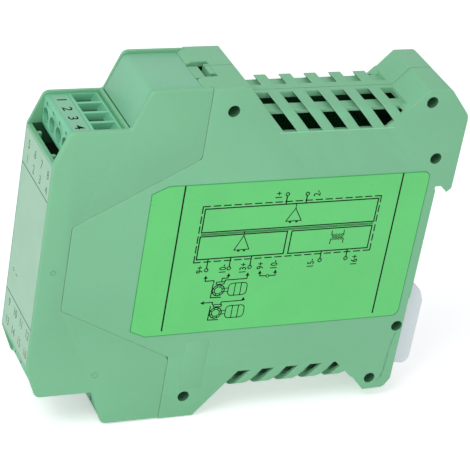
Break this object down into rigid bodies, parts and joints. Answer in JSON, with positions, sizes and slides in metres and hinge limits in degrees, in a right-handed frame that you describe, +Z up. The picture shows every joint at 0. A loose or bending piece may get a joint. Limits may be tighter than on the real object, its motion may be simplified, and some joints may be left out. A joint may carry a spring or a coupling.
{
  "type": "signal isolator",
  "caption": "Narrow green rail-mounted signal isolator: slotted two-shell housing, front cap with pluggable screw terminals, sliding rail latch",
  "frame": {"origin": "middle of the flat face that sits on the mounting rail: half width, half height", "axes": "+Y points out of the rail face to the rail, -Y to the labelled front, +Z up, +X to the side with the wiring sticker"},
  "size_m": [0.0227, 0.1142, 0.099],
  "materials": {
    "housing_green": "satin moulded plastic",
    "plug_green": "satin moulded plastic",
    "front_film": "printed film",
    "side_sticker": "printed sticker",
    "marker_film": "printed film",
    "latch_grey": "satin moulded plastic",
    "spring_steel": "drawn wire",
    "board_green": "coated laminate",
    "lamp_green": "clear tinted resin",
    "ferrite": "sintered ferrite",
    "copper_tape": "wound and taped",
    "can_sleeve": "sleeved can",
    "film_red": "dipped case",
    "chip_black": "moulded package",
    "chip_white": "moulded package",
    "trimmer_blue": "moulded case",
    "header_black": "satin moulded plastic",
    "tinned_brass": "tinned",
    "contact_brass": "stamped",
    "screw_steel": "plated",
    "clamp_steel": "plated"
  },
  "bodies": {
    "housing": {"front_cap": "housing_green", "rear_shell_right": "housing_green", "rear_shell_left": "housing_green", "filler_cover": "housing_green", "front_label": "front_film", "side_label": "side_sticker", "latch_spring": "spring_steel", "circuit_board": "board_green", "power_lamp": "lamp_green", "transformer_core": "ferrite", "transformer_winding": "copper_tape", "electrolytic_capacitors": "can_sleeve", "film_capacitor": "film_red", "amplifier_chips": "chip_black", "optocouplers": "chip_white", "trimmers": "trimmer_blue", "header_1_4": "header_black", "pins_1_4": "tinned_brass", "header_9_12": "header_black", "pins_9_12": "tinned_brass", "header_13_16": "header_black", "pins_13_16": "tinned_brass"},
    "rail_latch": {"rail_latch": "latch_grey"},
    "plug_1_4": {"plug_1_4": "plug_green", "marker_1_4": "marker_film", "contacts_1_4": "contact_brass"},
    "screw_1": {"screw_1": "screw_steel"},
    "clamp_1": {"clamp_1": "clamp_steel"},
    "screw_2": {"screw_2": "screw_steel"},
    "clamp_2": {"clamp_2": "clamp_steel"},
    "screw_3": {"screw_3": "screw_steel"},
    "clamp_3": {"clamp_3": "clamp_steel"},
    "screw_4": {"screw_4": "screw_steel"},
    "clamp_4": {"clamp_4": "clamp_steel"},
    "plug_9_12": {"plug_9_12": "plug_green", "marker_9_12": "marker_film", "contacts_9_12": "contact_brass"},
    "screw_9": {"screw_9": "screw_steel"},
    "clamp_9": {"clamp_9": "clamp_steel"},
    "screw_10": {"screw_10": "screw_steel"},
    "clamp_10": {"clamp_10": "clamp_steel"},
    "screw_11": {"screw_11": "screw_steel"},
    "clamp_11": {"clamp_11": "clamp_steel"},
    "screw_12": {"screw_12": "screw_steel"},
    "clamp_12": {"clamp_12": "clamp_steel"},
    "plug_13_16": {"plug_13_16": "plug_green", "marker_13_16": "marker_film", "contacts_13_16": "contact_brass"},
    "screw_13": {"screw_13": "screw_steel"},
    "clamp_13": {"clamp_13": "clamp_steel"},
    "screw_14": {"screw_14": "screw_steel"},
    "clamp_14": {"clamp_14": "clamp_steel"},
    "screw_15": {"screw_15": "screw_steel"},
    "clamp_15": {"clamp_15": "clamp_steel"},
    "screw_16": {"screw_16": "screw_steel"},
    "clamp_16": {"clamp_16": "clamp_steel"}
  },
  "joints": [
    {"name": "latch_slide", "type": "slide", "parent": "housing", "child": "rail_latch", "axis": [0, 0, -1], "range_m": [0, 0.0035], "stiffness_N_per_m": 1500, "springref_m": -0.003, "deforming": ["latch_spring"]},
    {"name": "plug_1_4_pull", "type": "slide", "parent": "housing", "child": "plug_1_4", "axis": [0, 0, 1], "range_m": [0, 0.015]},
    {"name": "screw_1_turn", "type": "hinge", "parent": "plug_1_4", "child": "screw_1", "pos_m": [-0.0075, -0.1038, 0.0336], "axis": [0, 1, 0], "range_deg": [0, 1800]},
    {"name": "clamp_1_lift", "type": "slide", "parent": "plug_1_4", "child": "clamp_1", "axis": [0, -1, 0], "range_m": [0, 0.0025]},
    {"name": "screw_2_turn", "type": "hinge", "parent": "plug_1_4", "child": "screw_2", "pos_m": [-0.0025, -0.1038, 0.0336], "axis": [0, 1, 0], "range_deg": [0, 1800]},
    {"name": "clamp_2_lift", "type": "slide", "parent": "plug_1_4", "child": "clamp_2", "axis": [0, -1, 0], "range_m": [0, 0.0025]},
    {"name": "screw_3_turn", "type": "hinge", "parent": "plug_1_4", "child": "screw_3", "pos_m": [0.0025, -0.1038, 0.0336], "axis": [0, 1, 0], "range_deg": [0, 1800]},
    {"name": "clamp_3_lift", "type": "slide", "parent": "plug_1_4", "child": "clamp_3", "axis": [0, -1, 0], "range_m": [0, 0.0025]},
    {"name": "screw_4_turn", "type": "hinge", "parent": "plug_1_4", "child": "screw_4", "pos_m": [0.0075, -0.1038, 0.0336], "axis": [0, 1, 0], "range_deg": [0, 1800]},
    {"name": "clamp_4_lift", "type": "slide", "parent": "plug_1_4", "child": "clamp_4", "axis": [0, -1, 0], "range_m": [0, 0.0025]},
    {"name": "plug_9_12_pull", "type": "slide", "parent": "housing", "child": "plug_9_12", "axis": [0, 0, -1], "range_m": [0, 0.015]},
    {"name": "screw_9_turn", "type": "hinge", "parent": "plug_9_12", "child": "screw_9", "pos_m": [-0.0075, -0.1038, -0.0336], "axis": [0, 1, 0], "range_deg": [0, 1800]},
    {"name": "clamp_9_lift", "type": "slide", "parent": "plug_9_12", "child": "clamp_9", "axis": [0, -1, 0], "range_m": [0, 0.0025]},
    {"name": "screw_10_turn", "type": "hinge", "parent": "plug_9_12", "child": "screw_10", "pos_m": [-0.0025, -0.1038, -0.0336], "axis": [0, 1, 0], "range_deg": [0, 1800]},
    {"name": "clamp_10_lift", "type": "slide", "parent": "plug_9_12", "child": "clamp_10", "axis": [0, -1, 0], "range_m": [0, 0.0025]},
    {"name": "screw_11_turn", "type": "hinge", "parent": "plug_9_12", "child": "screw_11", "pos_m": [0.0025, -0.1038, -0.0336], "axis": [0, 1, 0], "range_deg": [0, 1800]},
    {"name": "clamp_11_lift", "type": "slide", "parent": "plug_9_12", "child": "clamp_11", "axis": [0, -1, 0], "range_m": [0, 0.0025]},
    {"name": "screw_12_turn", "type": "hinge", "parent": "plug_9_12", "child": "screw_12", "pos_m": [0.0075, -0.1038, -0.0336], "axis": [0, 1, 0], "range_deg": [0, 1800]},
    {"name": "clamp_12_lift", "type": "slide", "parent": "plug_9_12", "child": "clamp_12", "axis": [0, -1, 0], "range_m": [0, 0.0025]},
    {"name": "plug_13_16_pull", "type": "slide", "parent": "housing", "child": "plug_13_16", "axis": [0, 0, -1], "range_m": [0, 0.015]},
    {"name": "screw_13_turn", "type": "hinge", "parent": "plug_13_16", "child": "screw_13", "pos_m": [-0.0075, -0.0848, -0.0441], "axis": [0, 1, 0], "range_deg": [0, 1800]},
    {"name": "clamp_13_lift", "type": "slide", "parent": "plug_13_16", "child": "clamp_13", "axis": [0, -1, 0], "range_m": [0, 0.0025]},
    {"name": "screw_14_turn", "type": "hinge", "parent": "plug_13_16", "child": "screw_14", "pos_m": [-0.0025, -0.0848, -0.0441], "axis": [0, 1, 0], "range_deg": [0, 1800]},
    {"name": "clamp_14_lift", "type": "slide", "parent": "plug_13_16", "child": "clamp_14", "axis": [0, -1, 0], "range_m": [0, 0.0025]},
    {"name": "screw_15_turn", "type": "hinge", "parent": "plug_13_16", "child": "screw_15", "pos_m": [0.0025, -0.0848, -0.0441], "axis": [0, 1, 0], "range_deg": [0, 1800]},
    {"name": "clamp_15_lift", "type": "slide", "parent": "plug_13_16", "child": "clamp_15", "axis": [0, -1, 0], "range_m": [0, 0.0025]},
    {"name": "screw_16_turn", "type": "hinge", "parent": "plug_13_16", "child": "screw_16", "pos_m": [0.0075, -0.0848, -0.0441], "axis": [0, 1, 0], "range_deg": [0, 1800]},
    {"name": "clamp_16_lift", "type": "slide", "parent": "plug_13_16", "child": "clamp_16", "axis": [0, -1, 0], "range_m": [0, 0.0025]}
  ],
  "couplings": [
    {"joint": "screw_1_turn", "follows": "clamp_1_lift", "rad_per_m": 12566},
    {"joint": "screw_2_turn", "follows": "clamp_2_lift", "rad_per_m": 12566},
    {"joint": "screw_3_turn", "follows": "clamp_3_lift", "rad_per_m": 12566},
    {"joint": "screw_4_turn", "follows": "clamp_4_lift", "rad_per_m": 12566},
    {"joint": "screw_9_turn", "follows": "clamp_9_lift", "rad_per_m": 12566},
    {"joint": "screw_10_turn", "follows": "clamp_10_lift", "rad_per_m": 12566},
    {"joint": "screw_11_turn", "follows": "clamp_11_lift", "rad_per_m": 12566},
    {"joint": "screw_12_turn", "follows": "clamp_12_lift", "rad_per_m": 12566},
    {"joint": "screw_13_turn", "follows": "clamp_13_lift", "rad_per_m": 12566},
    {"joint": "screw_14_turn", "follows": "clamp_14_lift", "rad_per_m": 12566},
    {"joint": "screw_15_turn", "follows": "clamp_15_lift", "rad_per_m": 12566},
    {"joint": "screw_16_turn", "follows": "clamp_16_lift", "rad_per_m": 12566}
  ]
}
